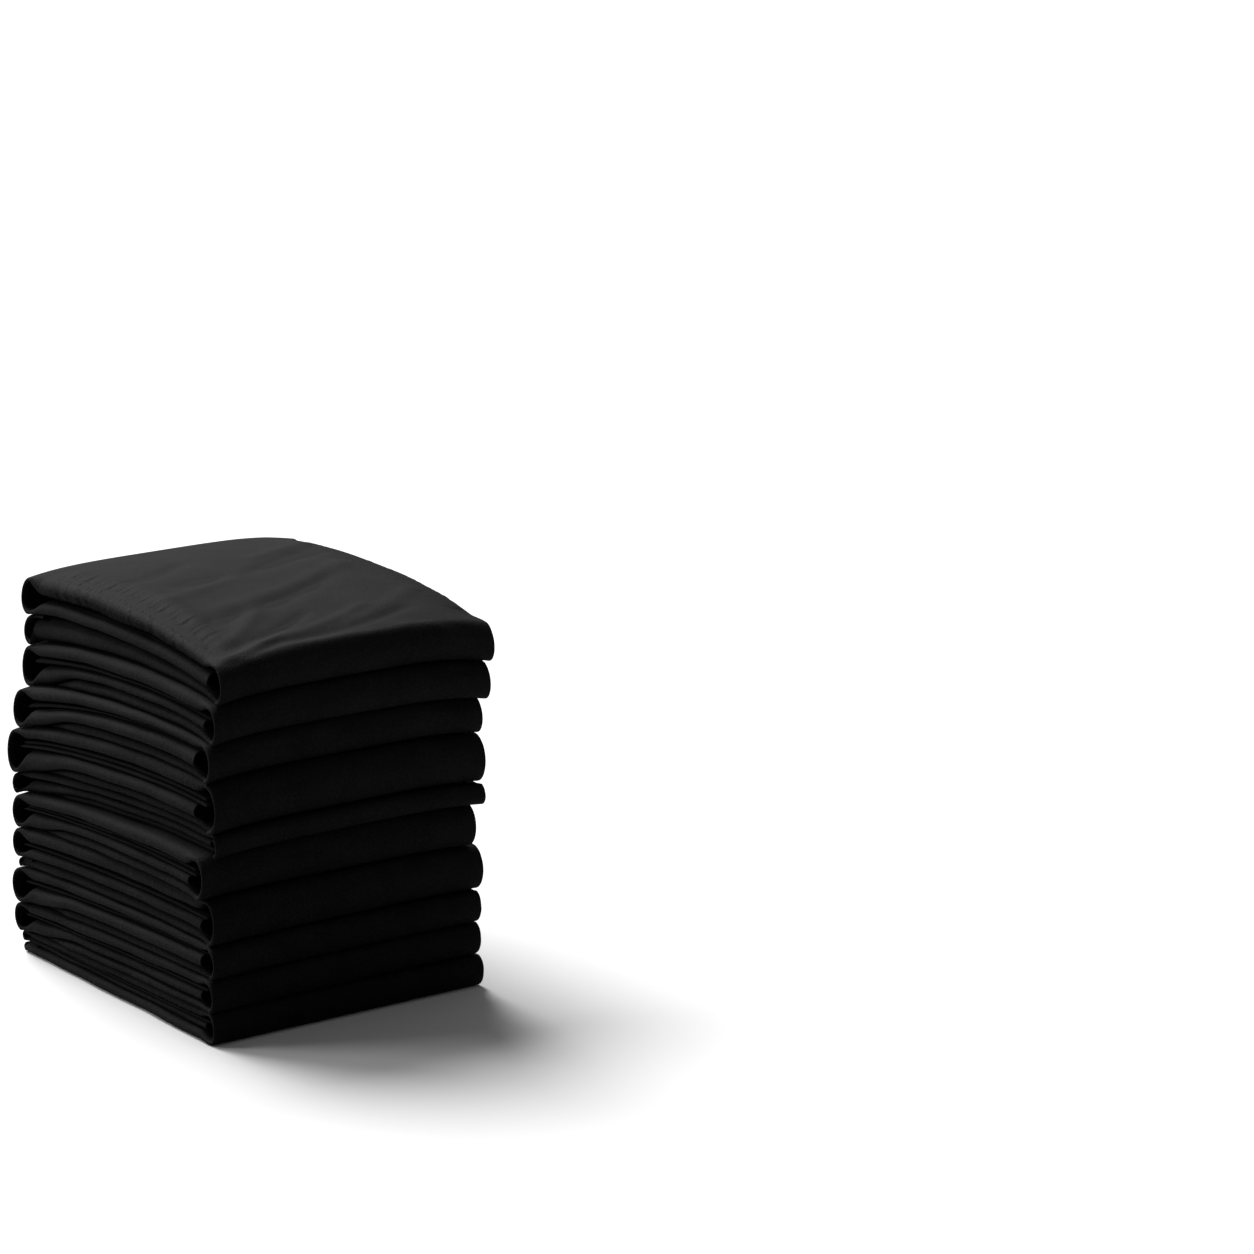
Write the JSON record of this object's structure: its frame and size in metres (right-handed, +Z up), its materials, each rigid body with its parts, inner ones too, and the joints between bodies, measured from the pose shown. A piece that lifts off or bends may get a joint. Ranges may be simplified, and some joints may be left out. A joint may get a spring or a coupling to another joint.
{
  "type": "stack of folded t-shirts",
  "caption": "Stack of black cotton T-shirts, each folded into a soft three-layer packet with rolled sides and open folds at the ends.",
  "frame": {"origin": "centre of the stack's footprint, on the surface it rests on", "axes": "+X across the side folds, +Y from the front end folds to the back ones, +Z up"},
  "size_m": [0.2623, 0.3163, 0.321],
  "materials": {
    "black_jersey": "matte",
    "black_jersey_inside": "matte"
  },
  "bodies": {
    "root": {"shirt_01_front": "black_jersey", "shirt_01_back": "black_jersey_inside", "shirt_01_hem": "black_jersey_inside", "shirt_01_sleeves": "black_jersey_inside", "shirt_02_front": "black_jersey", "shirt_02_back": "black_jersey_inside", "shirt_02_hem": "black_jersey_inside", "shirt_02_sleeves": "black_jersey_inside", "shirt_03_front": "black_jersey", "shirt_03_back": "black_jersey_inside", "shirt_03_hem": "black_jersey_inside", "shirt_03_sleeves": "black_jersey_inside", "shirt_04_front": "black_jersey", "shirt_04_back": "black_jersey_inside", "shirt_04_hem": "black_jersey_inside", "shirt_04_sleeves": "black_jersey_inside", "shirt_05_front": "black_jersey", "shirt_05_back": "black_jersey_inside", "shirt_05_hem": "black_jersey_inside", "shirt_05_sleeves": "black_jersey_inside", "shirt_06_front": "black_jersey", "shirt_06_back": "black_jersey_inside", "shirt_06_hem": "black_jersey_inside", "shirt_06_sleeves": "black_jersey_inside", "shirt_07_front": "black_jersey", "shirt_07_back": "black_jersey_inside", "shirt_07_hem": "black_jersey_inside", "shirt_07_sleeves": "black_jersey_inside", "shirt_08_front": "black_jersey", "shirt_08_back": "black_jersey_inside", "shirt_08_hem": "black_jersey_inside", "shirt_08_sleeves": "black_jersey_inside", "shirt_09_front": "black_jersey", "shirt_09_back": "black_jersey_inside", "shirt_09_hem": "black_jersey_inside", "shirt_09_sleeves": "black_jersey_inside", "shirt_10_front": "black_jersey", "shirt_10_back": "black_jersey_inside", "shirt_10_hem": "black_jersey_inside", "shirt_10_sleeves": "black_jersey_inside"}
  },
  "joints": []
}
